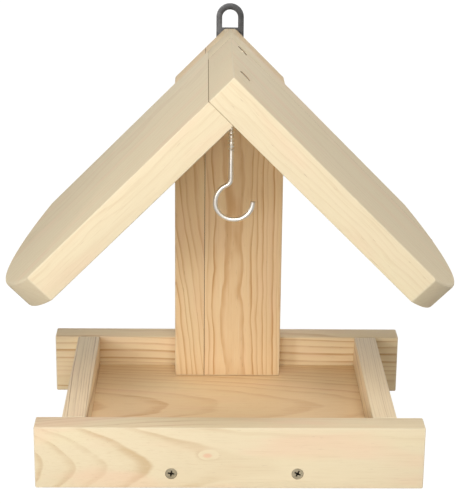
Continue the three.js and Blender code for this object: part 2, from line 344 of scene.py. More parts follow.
def smooth(value, start, end, low=0.0, high=1.0):
    """value from start to end becomes low to high, with a soft shoulder at both."""
    return value.node(
        "ShaderNodeMapRange",
        {"interpolation_type": "SMOOTHSTEP"},
        {"Value": value, "From Min": start, "From Max": end, "To Min": low, "To Max": high},
    )


def tinted(first, second, share):
    """The first colour, with a share of the second."""
    wire = next(w for w in (share, first, second) if isinstance(w, Wire))
    return wire.node(
        "ShaderNodeMix",
        {"data_type": "RGBA", "clamp_factor": True},
        {0: share, 6: first, 7: second},
        out=2,
    )


def stretched(place, x, y, z):
    return place.node("ShaderNodeVectorMath", {"operation": "MULTIPLY"}, {0: place, 1: (x, y, z)})


def cloudy(place, detail=2.0, rough=0.5, out="Fac"):
    """Soft random mottling, one patch for each unit of place."""
    return place.node(
        "ShaderNodeTexNoise",
        {"noise_dimensions": "3D"},
        {"Vector": place, "Scale": 1.0, "Detail": detail, "Roughness": rough},
        out=out,
    )


PINK, HONEY, STRAW, RESIN = (
    (0.86, 0.58, 0.42, 1),
    (0.85, 0.76, 0.50, 1),
    (0.88, 0.78, 0.60, 1),
    (0.28, 0.15, 0.07, 1),
)
HALF = (0.5, 0.5, 0.5)
# The third colour is the dark of glue lines and seams, which also paints the shade in their gaps,
# and the painted shade on the walls of screw holes.
SAWN_END, SANDED, DARK_JOINT_AND_SHADE = (0.80, 0.69, 0.50, 1), (0.78, 0.70, 0.53, 1), (0.20, 0.11, 0.05, 1)


def pine(
    name,
    heart,
    lie,
    early,
    late,
    ring=3.0,
    depth=0.6,
    wander=3.0,
    blush_share=0.25,
    fade=None,
    knots=(),
    sweep=0.0,
    knot_tone=(0.55, 0.24, 0.11),
    knot_share=0.75,
):
    """Pine cut from a log: heart is a point on the log's middle and lie the log's turn, so
    that the faces show arches, the edges straight lines and the sawn ends curved rings.
    early and late are the spring and summer wood, ring the year's growth in mm, depth how
    dark the summer wood is, wander how far the rings stray, fade where they thin out, sweep
    how fast the log's middle curves away on one side of the heart."""
    wood, shader, wires = new_material(name)
    spot = wires.node("ShaderNodeTexCoord", out="Object")
    log = wires.node(
        "ShaderNodeMapping",
        {"vector_type": "TEXTURE"},
        {
            "Vector": spot,
            "Location": [v * MM for v in heart],
            "Rotation": [math.radians(v) for v in lie],
            "Scale": (MM, MM, MM),
        },
    )
    if sweep:
        back = wires.node("ShaderNodeSeparateXYZ", None, {0: log}, out="X")
        back = back.math("MINIMUM", back, 0.0)
        back = wires.node("ShaderNodeCombineXYZ", None, {"Y": back * back * sweep})
        log = wires.node("ShaderNodeVectorMath", {"operation": "ADD"}, {0: log, 1: back})
    stray = cloudy(stretched(log, 0.011, 0.022, 0.022), 2.5, 0.5, "Color")
    stray = wires.node("ShaderNodeVectorMath", {"operation": "SUBTRACT"}, {0: stray, 1: HALF})
    ripple = cloudy(stretched(log, 0.045, 0.10, 0.10), 1.5, 0.5, "Color")
    ripple = wires.node("ShaderNodeVectorMath", {"operation": "SUBTRACT"}, {0: ripple, 1: HALF})
    bent = wires.node(
        "ShaderNodeVectorMath",
        {"operation": "MULTIPLY_ADD"},
        {0: stray, 1: (0.0, wander * 5, wander * 5), 2: log},
    )
    bent = wires.node(
        "ShaderNodeVectorMath",
        {"operation": "MULTIPLY_ADD"},
        {0: ripple, 1: (0.0, wander * 0.9, wander * 0.9), 2: bent},
    )
    out_from_heart = wires.node(
        "ShaderNodeVectorMath", {"operation": "LENGTH"}, {0: stretched(bent, 0, 1, 1)}, out="Value"
    )
    years = out_from_heart / ring
    uneven = wires.node(
        "ShaderNodeTexNoise",
        {"noise_dimensions": "1D"},
        {"W": years * 0.37, "Scale": 1.0, "Detail": 1.0},
    )
    years = years + uneven * 1.4
    core = None
    for x, y, z, width, long in knots:
        gap = wires.node(
            "ShaderNodeMapping",
            {"vector_type": "TEXTURE"},
            {
                "Vector": spot,
                "Location": (x * MM, y * MM, z * MM),
                "Scale": [v * MM for v in long],
            },
        )
        gap = wires.node("ShaderNodeVectorMath", {"operation": "LENGTH"}, {0: gap}, out="Value")
        years = years + smooth(gap, 0.0, 3.2, width, 0.0)
        here = smooth(gap, 0.45, 1.25, 1.0, 0.0)
        core = here if core is None else core.math("MAXIMUM", core, here)
    season = years.math("FRACT", years)
    year_luck = wires.node(
        "ShaderNodeTexWhiteNoise", {"noise_dimensions": "1D"}, {"W": years.math("FLOOR", years)}
    )
    summer = smooth(season, 0.58, 0.88) * 0.78 + smooth(season, 0.1, 0.8) * 0.22
    summer = summer * smooth(season, 0.90, 1.0, 1.0, 0.0)
    summer = summer * (0.35 + 0.65 * year_luck)
    broken = cloudy(stretched(log, 0.02, 0.16, 0.16), 2.0, 0.6)
    summer = summer * smooth(broken, 0.25, 0.62, 0.45, 1.15)
    if fade:
        along = wires.node("ShaderNodeSeparateXYZ", None, {0: log}, out="X")
        summer = summer * smooth(along, *fade)
    hair = cloudy(stretched(log, 0.035, 1.1, 1.1), 4.0, 0.65)
    strand = cloudy(stretched(log, 0.09, 5.0, 5.0), 3.0, 0.6)
    ends = wires.node("ShaderNodeAttribute", {"attribute_name": "sawn_end"}, out="Fac")
    eased = wires.node("ShaderNodeAttribute", {"attribute_name": "eased"}, out="Fac")
    dark_joint_and_shade = wires.node("ShaderNodeAttribute", {"attribute_name": "dark_joint_and_shade"}, out="Fac")
    colour = tinted((*early, 1), (*late, 1), summer * depth)
    patch = cloudy(stretched(log, 0.012, 0.05, 0.05), 2.0, 0.5)
    colour = tinted(colour, PINK, smooth(patch, 0.48, 0.72, 0.0, blush_share))
    honey = cloudy(stretched(log, 0.009, 0.035, 0.045), 2.0, 0.5)
    colour = tinted(colour, HONEY, smooth(honey, 0.52, 0.78, 0.0, 0.28))
    colour = tinted(colour, (*late, 1), smooth(hair, 0.50, 0.80, 0.0, 0.30))
    colour = tinted(colour, STRAW, smooth(hair, 0.48, 0.20, 0.0, 0.26))
    darkest = (*[v * 0.62 for v in late], 1)
    colour = tinted(colour, darkest, smooth(strand, 0.62, 0.80, 0.0, 0.22))
    resin = cloudy(stretched(log, 0.16, 3.2, 3.2), 0.0)
    pinhole = smooth(resin, 0.80, 0.86) * smooth(summer, 0.05, 0.4, 0.35, 1.0)
    colour = tinted(colour, RESIN, pinhole * 0.55)
    if core is not None:
        colour = tinted(colour, (*knot_tone, 1), core * knot_share)
    pores = cloudy(stretched(log, 0.4, 7.0, 7.0), 2.0, 0.6)
    end_tone = tinted(colour, SAWN_END, 0.30 + 0.30 * pores)
    colour = tinted(colour, end_tone, ends)
    colour = tinted(colour, SANDED, eased * 0.30)
    # Painted shade: glue lines and seams darken as their gaps would be shaded, and hole walls
    # darken as the recess would be.
    colour = tinted(colour, DARK_JOINT_AND_SHADE, dark_joint_and_shade * 0.85)
    wood.node_tree.links.new(colour.socket, shader.inputs["Base Color"])
    rough = 0.55 + 0.14 * hair + 0.10 * ends - 0.06 * summer + 0.35 * dark_joint_and_shade
    wood.node_tree.links.new(rough.socket, shader.inputs["Roughness"])
    height = summer * 0.35 + hair * 0.9 + strand * 0.35 - pinhole * 0.8 + ends * pores * 0.8
    bump = wires.node(
        "ShaderNodeBump", None, {"Strength": 0.22, "Distance": 0.0003, "Height": height}
    )
    wood.node_tree.links.new(bump.socket, shader.inputs["Normal"])
    shader.inputs["Specular IOR Level"].default_value = 0.28
    return wood


def brick(node, grain, **more):
    """The board for a squared CAD node, from that node's own corners."""
    low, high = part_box(node)
    outline = [
        (low.x, low.y, low.z),
        (high.x, low.y, low.z),
        (high.x, high.y, low.z),
        (low.x, high.y, low.z),
    ]
    made = board(node + "_wood", outline, Vector((0, 0, high.z - low.z)), grain, **more)
    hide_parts(node)
    return made


PALE_EARLY, PALE_LATE = (0.80, 0.69, 0.485), (0.60, 0.43, 0.24)
WARM_EARLY, WARM_LATE = (0.82, 0.625, 0.385), (0.58, 0.33, 0.14)
ALONG_X, ALONG_Y, ALONG_Z = Vector((1, 0, 0)), Vector((0, 1, 0)), Vector((0, 0, 1))
MOUTH, HOLE = HEAD + 0.4 * MM, SHANK + 0.4 * MM

front_low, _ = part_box("front_rail")
_, back_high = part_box("back_rail")
rail_screw_x = (-36 * MM, 42 * MM)
RAIL_HOLE, FOOT_HOLE, STRIP_HOLE, ROOF_HOLE = 36.5 * MM, 30.5 * MM, 36 * MM, 41 * MM
front_screws = [(Vector((x, front_low.y, 10 * MM)), -ALONG_Y) for x in rail_screw_x]
back_screws = [(Vector((x, back_high.y, 10 * MM)), ALONG_Y) for x in rail_screw_x]
foot_screws = [(Vector((x, back_high.y, 30.5 * MM)), ALONG_Y) for x in (-26 * MM, 26 * MM)]

front_rail = brick(
    "front_rail",
    ALONG_X,
    holes=[(p, a, HOLE, MOUTH, RAIL_HOLE) for p, a in front_screws],
    wood=pine(
        "front_rail_pine",
        (15, -19, 15),
        (0, 0, 0.6),
        PALE_EARLY,
        PALE_LATE,
        ring=4.0,
        depth=0.75,
        wander=0.8,
        fade=(-5, -50, 0.2, 1.0),
        blush_share=0.4,
        sweep=0.0009,
        knots=((-13.7, -76.6, 22.3, 0.9, (3.0, 6, 1.6)),),
        knot_tone=(0.80, 0.42, 0.28),
        knot_share=0.5,
    ),
)
back_rail = brick(
    "back_rail",
    ALONG_X,
    holes=[(p, a, HOLE, MOUTH, RAIL_HOLE) for p, a in back_screws]
    + [(p, a, HOLE, MOUTH, FOOT_HOLE) for p, a in foot_screws],
    wood=pine(
        "back_rail_pine",
        (0, 50, -150),
        (0, 0.8, 1.0),
        (0.86, 0.70, 0.46),
        (0.60, 0.37, 0.17),
        ring=4.2,
        depth=1.0,
        wander=0.7,
    ),
)

# ----------------------------------------------------------------------------------------
# Screws: countersunk wood screws with a cross recess and a yellowish zinc finish. They are
# driven flush, and one shape serves the rails, the strips, the post, the ridge and the plate.
# ----------------------------------------------------------------------------------------


def shape_tree(name, inputs):
    """An empty Geometry Nodes tree, its named inputs, and the start of its node sums."""
    tree = bpy.data.node_groups.new(name, "GeometryNodeTree")
    tree.interface.new_socket("Geometry", in_out="INPUT", socket_type="NodeSocketGeometry")
    for label, (kind, value) in inputs.items():
        made = tree.interface.new_socket(label, in_out="INPUT", socket_type="NodeSocket" + kind)
        if value is not None:
            made.default_value = value
    tree.interface.new_socket("Geometry", in_out="OUTPUT", socket_type="NodeSocketGeometry")
    given = tree.nodes.new("NodeGroupInput")
    return tree, {s.name: Wire(tree, s) for s in given.outputs if s.name}


def shape_end(tree, result):
    end = tree.nodes.new("NodeGroupOutput")
    tree.links.new(result.socket, end.inputs[0])


def several(start, kind, settings, socket, wires, more=None, out=0):
    """A node one of whose sockets takes several wires."""
    made = start.node(kind, settings, more, out)
    for wire in wires:
        start.tree.links.new(wire.socket, made.socket.node.inputs[socket])
    return made


def moved(start, shape, **how):
    return start.node("GeometryNodeTransform", None, {"Geometry": shape, **how})


def lift_by(start, z):
    return start.node("ShaderNodeCombineXYZ", None, {"Z": z})


screw_tree, given = shape_tree(
    "wood_screws",
    {
        "Head Width": ("Float", HEAD),
        "Head Depth": ("Float", HEAD_DEPTH),
        "Rim": ("Float", HEAD_RIM),
        "Shank Width": ("Float", SHANK),
        "Length": ("Float", 36 * MM),
        "Point": ("Float", 5 * MM),
        "Recess Width": ("Float", 4.5 * MM),
        "Recess Slot": ("Float", 1.1 * MM),
        "Recess Depth": ("Float", 1.7 * MM),
        "Thread Pitch": ("Float", 1.8 * MM),
        "Seed": ("Int", 3),
        "Finish": ("Material", None),
    },
)
begin = given["Geometry"]
rim = begin.node(
    "GeometryNodeMeshCylinder",
    {"fill_type": "NGON"},
    {"Vertices": 40, "Radius": given["Head Width"] * 0.5, "Depth": given["Rim"]},
)
rim = moved(begin, rim, Translation=lift_by(begin, given["Rim"] * -0.5))
under = begin.node(
    "GeometryNodeMeshCone",
    {"fill_type": "NGON"},
    {
        "Vertices": 40,
        "Radius Top": given["Head Width"] * 0.5,
        "Radius Bottom": given["Shank Width"] * 0.4,
        "Depth": given["Head Depth"] - given["Rim"],
    },
)
under = moved(begin, under, Translation=lift_by(begin, given["Head Depth"] * -1.0))
stem_length = given["Length"] - given["Head Depth"] - given["Point"]
stem = begin.node(
    "GeometryNodeMeshCylinder",
    {"fill_type": "NGON"},
    {"Vertices": 20, "Radius": given["Shank Width"] * 0.37, "Depth": stem_length + 0.4 * MM},
)
stem = moved(
    begin, stem, Translation=lift_by(begin, (given["Head Depth"] + stem_length * 0.5) * -1.0)
)
point = begin.node(
    "GeometryNodeMeshCone",
    {"fill_type": "NGON"},
    {
        "Vertices": 20,
        "Radius Top": given["Shank Width"] * 0.37,
        "Radius Bottom": 0.15 * MM,
        "Depth": given["Point"],
    },
)
point = moved(begin, point, Translation=lift_by(begin, given["Length"] * -1.0))
blank = several(
    begin, "GeometryNodeMeshBoolean", {"operation": "UNION", "solver": "EXACT"}, "Mesh 2",
    [rim, under, stem, point],
)
wing = begin.node(
    "GeometryNodeMeshCone",
    {"fill_type": "NGON"},
    {
        "Vertices": 4,
        "Radius Top": given["Recess Width"] * 0.62,
        "Radius Bottom": given["Recess Width"] * 0.40,
        "Depth": given["Recess Depth"] + 0.5 * MM,
    },
)
thin = given["Recess Slot"] / (given["Recess Width"] * 0.875)
wings = []
for quarter in (0.0, math.pi / 2):
    bar = moved(begin, wing, Rotation=(0, 0, math.pi / 4))
    squeezed = begin.node("ShaderNodeCombineXYZ", None, {"X": 1.15, "Y": thin, "Z": 1.0})
    bar = moved(begin, bar, Scale=squeezed)
    bar = moved(begin, bar, Rotation=(0, 0, quarter))
    wings.append(moved(begin, bar, Translation=lift_by(begin, given["Recess Depth"] * -1.0)))
middle = begin.node(
    "GeometryNodeMeshCone",
    {"fill_type": "NGON"},
    {
        "Vertices": 12,
        "Radius Top": given["Recess Slot"] * 1.05,
        "Radius Bottom": given["Recess Slot"] * 0.6,
        "Depth": given["Recess Depth"] + 0.6 * MM,
    },
)
wings.append(moved(begin, middle, Translation=lift_by(begin, given["Recess Depth"] * -1.05)))
socketed = several(
    begin, "GeometryNodeMeshBoolean", {"operation": "DIFFERENCE", "solver": "EXACT"}, "Mesh 2",
    wings, {"Mesh 1": blank},
)
height = begin.node(
    "ShaderNodeSeparateXYZ", None, {0: begin.node("GeometryNodeInputPosition")}, out="Z"
)
socketed = begin.node(
    "GeometryNodeStoreNamedAttribute",
    {"data_type": "FLOAT", "domain": "POINT"},
    {"Geometry": socketed, "Name": "below_top", "Value": height * -1000.0},
)
turns = (stem_length + given["Point"] * 0.4) * 0.75 / given["Thread Pitch"]
coil = begin.node(
    "GeometryNodeCurveSpiral",
    None,
    {
        "Resolution": 14,
        "Rotations": turns,
        "Start Radius": given["Shank Width"] * 0.34,
        "End Radius": given["Shank Width"] * 0.34,
        "Height": (stem_length + given["Point"] * 0.4) * 0.75,
    },
)
coil = moved(
    begin, coil, Translation=lift_by(begin, (given["Length"] - given["Point"] * 0.6) * -1.0)
)
edge = begin.node(
    "GeometryNodeCurvePrimitiveCircle",
    {"mode": "RADIUS"},
    {"Resolution": 4, "Radius": given["Shank Width"] * 0.155},
)
thread = begin.node(
    "GeometryNodeCurveToMesh", None, {"Curve": coil, "Profile Curve": edge, "Fill Caps": True}
)
one_screw = several(begin, "GeometryNodeJoinGeometry", None, 0, [socketed, thread])
aim = begin.node(
    "GeometryNodeInputNamedAttribute", {"data_type": "FLOAT_VECTOR"}, {"Name": "aim"}
)
facing = begin.node("FunctionNodeAlignRotationToVector", {"axis": "Z"}, {"Vector": aim})
spin = begin.node(
    "FunctionNodeRandomValue",
    {"data_type": "FLOAT"},
    {2: 0.0, 3: math.pi / 2, "Seed": given["Seed"]},
    out=1,
)
spin = begin.node("ShaderNodeCombineXYZ", None, {"Z": spin})
spin = begin.node("FunctionNodeEulerToRotation", None, {0: spin})
facing = begin.node(
    "FunctionNodeRotateRotation",
    {"rotation_space": "LOCAL"},
    {"Rotation": facing, "Rotate By": spin},
)
many = begin.node(
    "GeometryNodeInstanceOnPoints",
    None,
    {"Points": begin, "Instance": one_screw, "Rotation": facing},
)
many = begin.node("GeometryNodeRealizeInstances", None, {"Geometry": many})
many = begin.node(
    "GeometryNodeSetMaterial", None, {"Geometry": many, "Material": given["Finish"]}
)
shape_end(screw_tree, many)


def grow(name, points, aims, tree, values):
    """A plain mesh from a Geometry Nodes tree and the points it starts from."""
    seeds = bpy.data.meshes.new(name)
    seeds.from_pydata([tuple(p) for p in points], [], [])
    held = seeds.attributes.new("aim", "FLOAT_VECTOR", "POINT")
    for k, direction in enumerate(aims):
        held.data[k].vector = direction
    piece = placed(name, seeds)
    maker = piece.modifiers.new("maker", "NODES")
    maker.node_group = tree
    slots = {s.name: s.identifier for s in tree.interface.items_tree if s.in_out == "INPUT"}
    for label, value in values.items():
        maker[slots[label]] = value
    bpy.context.view_layer.update()
    settled(piece)
    return piece


def zinc(name, colour, dull, rough, recess_shade):
    """A plated finish: slightly uneven, with dull spots, and with painted shade that darkens it
    down in a recess.
    """
    finish, shader, wires = new_material(name)
    spot = wires.node("ShaderNodeTexCoord", out="Object")
    fine = cloudy(stretched(spot, 900, 900, 900), 3.0, 0.6)
    broad = cloudy(stretched(spot, 160, 160, 160), 3.0, 0.55)
    tone = tinted((*colour, 1), (*dull, 1), smooth(broad, 0.35, 0.70, 0.0, 0.9))
    tone = tinted(tone, (*[v * 0.45 for v in dull], 1), smooth(fine, 0.58, 0.75, 0.0, 0.5))
    if recess_shade:
        # Painted shade: the finish goes nearly black with depth below the head's top, as the cross
        # recess would be shaded.
        depth = wires.node("ShaderNodeAttribute", {"attribute_name": "below_top"}, out="Fac")
        tone = tinted(tone, (0.035, 0.028, 0.02, 1), smooth(depth, 0.03, 0.75, 0.0, 0.95))
    finish.node_tree.links.new(tone.socket, shader.inputs["Base Color"])
    finish.node_tree.links.new((rough + 0.18 * fine).socket, shader.inputs["Roughness"])
    bump = wires.node(
        "ShaderNodeBump", None, {"Strength": 0.12, "Distance": 0.00008, "Height": fine}
    )
    finish.node_tree.links.new(bump.socket, shader.inputs["Normal"])
    shader.inputs["Metallic"].default_value = 1.0
    return finish


screw_finish = zinc("screw_zinc", (0.66, 0.60, 0.46), (0.50, 0.44, 0.31), 0.30, True)


def screws(name, nodes, placing, length, seed, head=HEAD, depth=HEAD_DEPTH, sunk=SUNK):
    """Driven screws: placing holds each head's place on the wood and the way it faces."""
    piece = grow(
        name,
        [p - a * sunk for p, a in placing],
        [a for p, a in placing],
        screw_tree,
        {
            "Head Width": head,
            "Head Depth": depth,
            "Length": length,
            "Seed": seed,
            "Finish": screw_finish,
        },
    )
    piece.data.set_sharp_from_angle(angle=math.radians(35))
    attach(piece, "feeder")
    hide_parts(*nodes)


screws(
    "front_rail_screws",
    ["front_rail_screw_left", "front_rail_screw_right"],
    front_screws,
    36 * MM,
    3,
)
screws(
    "back_rail_screws",
    ["back_rail_screw_left", "back_rail_screw_right"],
    back_screws,
    36 * MM,
    5,
)
screws(
    "post_foot_screws",
    ["post_foot_screw_left", "post_foot_screw_right"],
    foot_screws,
    30 * MM,
    8,
)

# ----------------------------------------------------------------------------------------
# The tray's floor: one wide pine board with open arches, laid between the rails. The two
# side strips of the tray stand on it and are screwed up from below.
# ----------------------------------------------------------------------------------------
floor_low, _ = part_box("floor_board")
strip_screws = [
    (Vector((side * 96.5 * MM, y * MM, floor_low.z)), -ALONG_Z)
    for side in (-1, 1)
    for y in (-34.5, 48.5)
]
floor_board = brick(
    "floor_board",
    ALONG_X,
    holes=[(p, a, HOLE, MOUTH, 22 * MM) for p, a in strip_screws],
    wood=pine(
        "floor_pine",
        (0, 3, -58),
        (0, 3.8, 0),
        WARM_EARLY,
        WARM_LATE,
        ring=3.0,
        depth=0.62,
        wander=0.9,
    ),
)
left_strip = brick(
    "left_side_strip",
    ALONG_Y,
    holes=[(p, a, SHANK + 0.3 * MM, SHANK, STRIP_HOLE) for p, a in strip_screws[:2]],
    wood=pine(
        "left_strip_pine",
        (-180, 0, 20),
        (0, 0, 91),
        (0.84, 0.70, 0.50),
        (0.42, 0.27, 0.16),
        ring=2.2,
        depth=1.0,
        wander=0.4,
    ),
)
right_strip = brick(
    "right_side_strip",
    ALONG_Y,
    holes=[(p, a, SHANK + 0.3 * MM, SHANK, STRIP_HOLE) for p, a in strip_screws[2:]],
    wood=pine(
        "right_strip_pine",
        (190, 0, 60),
        (0, 0, 89),
        (0.83, 0.70, 0.50),
        (0.60, 0.46, 0.31),
        ring=1.5,
        depth=0.8,
        wander=0.5,
    ),
)
screws(
    "left_strip_screws",
    ["left_strip_screw_front", "left_strip_screw_rear"],
    strip_screws[:2],
    35 * MM,
    12,
)
screws(
    "right_strip_screws",
    ["right_strip_screw_front", "right_strip_screw_rear"],
    strip_screws[2:],
    35 * MM,
    14,
)

# ----------------------------------------------------------------------------------------
# The post: two pine staves, glued edge to edge and planed flush, sawn to a blunt gable on
# top. It stands on the floor against the back rail, and is screwed to it from behind.
# ----------------------------------------------------------------------------------------
wide_low, wide_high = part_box("post_wide_stave")
narrow_low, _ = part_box("post_narrow_stave")
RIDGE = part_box("right_roof_front_stave")[1].z
blunt = RIDGE - wide_high.z
post_run = Vector((0, wide_high.y - wide_low.y, 0))
roof_screws = [
    (Vector((x, wide_high.y, 221.9 * MM)), ALONG_Y) for x in (-26 * MM, 26 * MM)
]
plate_screws = [(Vector((0, 76.1 * MM, z * MM)), ALONG_Y) for z in (236.5, 219.5)]


def post_ease(p, joint_x):
    """Hardly any easing at the glue line, a little where the gable meets the roof."""
    if abs(p.x - joint_x) < 0.4 * MM:
        return 0.26
    return 0.4 if p.z > RIDGE - 36.5 * MM and p.y < wide_low.y + 2 * MM else 1.0


wide_stave = board(
    "post_wide_stave_wood",
    [
        (wide_low.x, wide_low.y, wide_low.z),
        (wide_high.x, wide_low.y, wide_low.z),
        (wide_high.x, wide_low.y, RIDGE - wide_high.x),
        (blunt, wide_low.y, wide_high.z),
        (-blunt, wide_low.y, wide_high.z),
        (wide_low.x, wide_low.y, RIDGE + wide_low.x),
    ],
    post_run,
    ALONG_Z,
    tight=lambda p: post_ease(p, wide_low.x),
    holes=[(roof_screws[1][0], ALONG_Y, HOLE, MOUTH, 21 * MM)]
    + [(p - ALONG_Y * 1.6 * MM, a, HOLE, HOLE, 21 * MM) for p, a in plate_screws]
    + [(foot_screws[1][0], ALONG_Y, HOLE, HOLE, 31 * MM)],
    wood=pine(
        "post_wide_pine",
        (3, 84, 100),
        (0.4, -90.6, 0),
        WARM_EARLY,
        WARM_LATE,
        ring=2.1,
        depth=0.95,
        wander=1.3,
    ),
)
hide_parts("post_wide_stave")
joint_x = wide_low.x - 0.02 * MM
narrow_stave = board(
    "post_narrow_stave_wood",
    [
        (narrow_low.x, narrow_low.y, narrow_low.z),
        (joint_x, narrow_low.y, narrow_low.z),
        (joint_x, narrow_low.y, RIDGE + joint_x),
        (narrow_low.x, narrow_low.y, RIDGE + narrow_low.x),
    ],
    post_run,
    ALONG_Z,
    tight=lambda p: post_ease(p, joint_x),
    holes=[
        (roof_screws[0][0], ALONG_Y, HOLE, MOUTH, 21 * MM),
        (foot_screws[0][0], ALONG_Y, HOLE, HOLE, 31 * MM),
    ],
    wood=pine(
        "post_narrow_pine",
        (12, 110, 60),
        (0, -97.0, 0),
        WARM_EARLY,
        WARM_LATE,
        ring=2.2,
        depth=0.95,
        wander=1.0,
    ),
)
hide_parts("post_narrow_stave")

# ----------------------------------------------------------------------------------------
# The roof: two pine boards at a right angle, with bowed eaves. The right one is glued from
# two staves and laps over the left one's end, and two screws hold the pair at the ridge.
# ----------------------------------------------------------------------------------------
THICK = 20 * MM
CORNER, TIP = 169 * MM, 199 * MM
SLOPE = math.sqrt(0.5)
ROLLED = 2.2


def roof_point(side, s, y, n):
    """A point on a roof slope: side is -1 left or 1 right, s down the slope, n out of it."""
    return Vector((side * (s + n) * SLOPE, y, RIDGE - (s - n) * SLOPE))


def eave(y):
    """How far down the slope the bowed eave reaches at y."""
    half = (roof_rear - roof_front) / 2
    bulge = TIP - CORNER
    radius = (half * half + bulge * bulge) / (2 * bulge)
    off = y - (roof_front + roof_rear) / 2
    return TIP - radius + math.sqrt(radius * radius - off * off)


roof_front, roof_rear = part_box("left_roof_board")[0].y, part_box("left_roof_board")[1].y
glue_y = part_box("right_roof_front_stave")[1].y


def roof_board(node, side, top, y0, y1, grain, steps, **more):
    """A roof board from y0 to y1, its top end at top and its lower end bowed."""
    ys = [y1 + (y0 - y1) * k / steps for k in range(steps + 1)]
    outline = [roof_point(side, top, y, 0) for y in (y0, glue_y, y1) if y0 <= y <= y1]
    outline += [roof_point(side, eave(y), y, 0) for y in ys]
    if side > 0 and y0 == roof_front:
        outline.append(roof_point(side, THICK, y0, 0))
    run = roof_point(side, top, y0, -THICK) - roof_point(side, top, y0, 0)
    made = board(node + "_wood", outline, run, grain, widest=ROLLED, **more)
    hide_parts(node)


hook_low, hook_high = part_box("screw_hook")
hook_y = (hook_low.y + hook_high.y) / 2
hook_hole = (Vector((0, hook_y, 225 * MM)), -ALONG_Z, 4.4 * MM, 4.4 * MM, 25.5 * MM)
ridge_screws = [
    (roof_point(1, 10 * MM, y * MM, 0), Vector((SLOPE, 0, SLOPE))) for y in (-55.1, 18.9)
]
ridge_holes = [(p, a, HOLE, MOUTH + 0.8 * MM, ROOF_HOLE) for p, a in ridge_screws]
rear_holes = [(p, a, HOLE, HOLE, ROOF_HOLE) for p, a in roof_screws]


def roof_ease(side, joint_y, p):
    """Little easing where the roof boards meet each other, half where they meet the post,
    and the top corner of the bowed eave rolled right over."""
    down = (side * p.x + RIDGE - p.z) / 2 / SLOPE
    out = (side * p.x - RIDGE + p.z) / 2 / SLOPE
    if abs(p.y - joint_y) < 0.4 * MM:
        return 0.2
    if side > 0 and down < THICK + 0.2 * MM and out < 1 * MM - THICK:
        return 0.2 if down < 1 * MM and p.y < glue_y else 0.1
    if side < 0 and down < THICK + 1 * MM:
        return 0.35 if out > -1 * MM and p.y < glue_y else 0.1
    if down > CORNER - 0.5 * MM and out > -1 * MM:
        return ROLLED
    return 0.5 if abs(p.y - roof_rear) < 1 * MM else 1.0


roof_board(
    "left_roof_board",
    -1,
    20.06 * MM,
    roof_front,
    roof_rear,
    Vector((SLOPE, 0, SLOPE)),
    40,
    tight=lambda p: roof_ease(-1, 1, p),
    holes=[hook_hole] + [(p, a, HOLE, HOLE, 41 * MM) for p, a in ridge_screws] + rear_holes[:1],
    wood=pine(
        "left_roof_pine",
        (-60, 10, 60),
        (0, -45, 1.5),
        PALE_EARLY,
        PALE_LATE,
        ring=4.0,
        depth=0.26,
        wander=2.2,
    ),
)
roof_board(
    "right_roof_front_stave",
    1,
    0.0,
    roof_front,
    glue_y,
    Vector((SLOPE, 0, -SLOPE)),
    32,
    tight=lambda p: roof_ease(1, glue_y, p),
    holes=[hook_hole] + ridge_holes,
    wood=pine(
        "right_roof_front_pine",
        (60, -10, 50),
        (0, 45, -1.8),
        PALE_EARLY,
        PALE_LATE,
        ring=3.6,
        depth=0.24,
        wander=2.2,
    ),
)
rear_low = glue_y + 0.02 * MM
roof_board(
    "right_roof_rear_stave",
    1,
    0.0,
    rear_low,
    roof_rear,
    Vector((SLOPE, 0, -SLOPE)),
    10,
    tight=lambda p: roof_ease(1, rear_low, p),
    holes=rear_holes[1:],
    wood=pine(
        "right_roof_rear_pine",
        (80, 90, 80),
        (0, 45, 2.0),
        PALE_EARLY,
        PALE_LATE,
        ring=3.2,
        depth=0.4,
        wander=2.0,
    ),
)
screws("roof_screws", ["roof_screw_left", "roof_screw_right"], roof_screws, 40 * MM, 21)
screws(
    "ridge_screws",
    ["ridge_screw_front", "ridge_screw_rear"],
    ridge_screws,
    40 * MM,
    23,
    sunk=0.55 * MM,
)

# ----------------------------------------------------------------------------------------
# The hanger: a strip of galvanised steel 1.5 mm thick with round ends and an opening for
# a nail. It stands above the ridge behind the post, held by two small screws.
# ----------------------------------------------------------------------------------------
plate_low, plate_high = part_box("hanger_plate")


def half_round(half, centre, way, steps):
    """Half a circle of points over (way 1) or under (way -1) a centre."""
    turn = [math.pi * k / steps for k in range(steps + 1)]
    return [(way * half * math.cos(a), centre + way * half * math.sin(a)) for a in turn]


shape = bmesh.new()
plate_half, slot_half = plate_high.x, 5.2 * MM
slot_bottom, slot_top = 259 * MM, 271 * MM
outer = half_round(plate_half, plate_high.z - plate_half, 1, 32)
outer += half_round(plate_half, plate_low.z + plate_half, -1, 32)
slot = half_round(slot_half, slot_top - slot_half, 1, 24)
slot += [(-slot_half, slot_bottom), (slot_half, slot_bottom)]
rings = [[shape.verts.new((x, plate_low.y, z)) for x, z in ring] for ring in (outer, slot)]
edges = []
for ring in rings:
    edges += [shape.edges.new((a, b)) for a, b in zip(ring, ring[1:] + ring[:1])]
bmesh.ops.triangle_fill(shape, edges=edges, use_beauty=True)
grown = bmesh.ops.extrude_face_region(shape, geom=list(shape.faces))
bmesh.ops.translate(
    shape,
    vec=(0, plate_high.y - plate_low.y, 0),
    verts=[v for v in grown["geom"] if isinstance(v, bmesh.types.BMVert)],
)
bmesh.ops.recalc_face_normals(shape, faces=shape.faces)
plate_mesh = bpy.data.meshes.new("hanger_strip")
shape.to_mesh(plate_mesh)
shape.free()

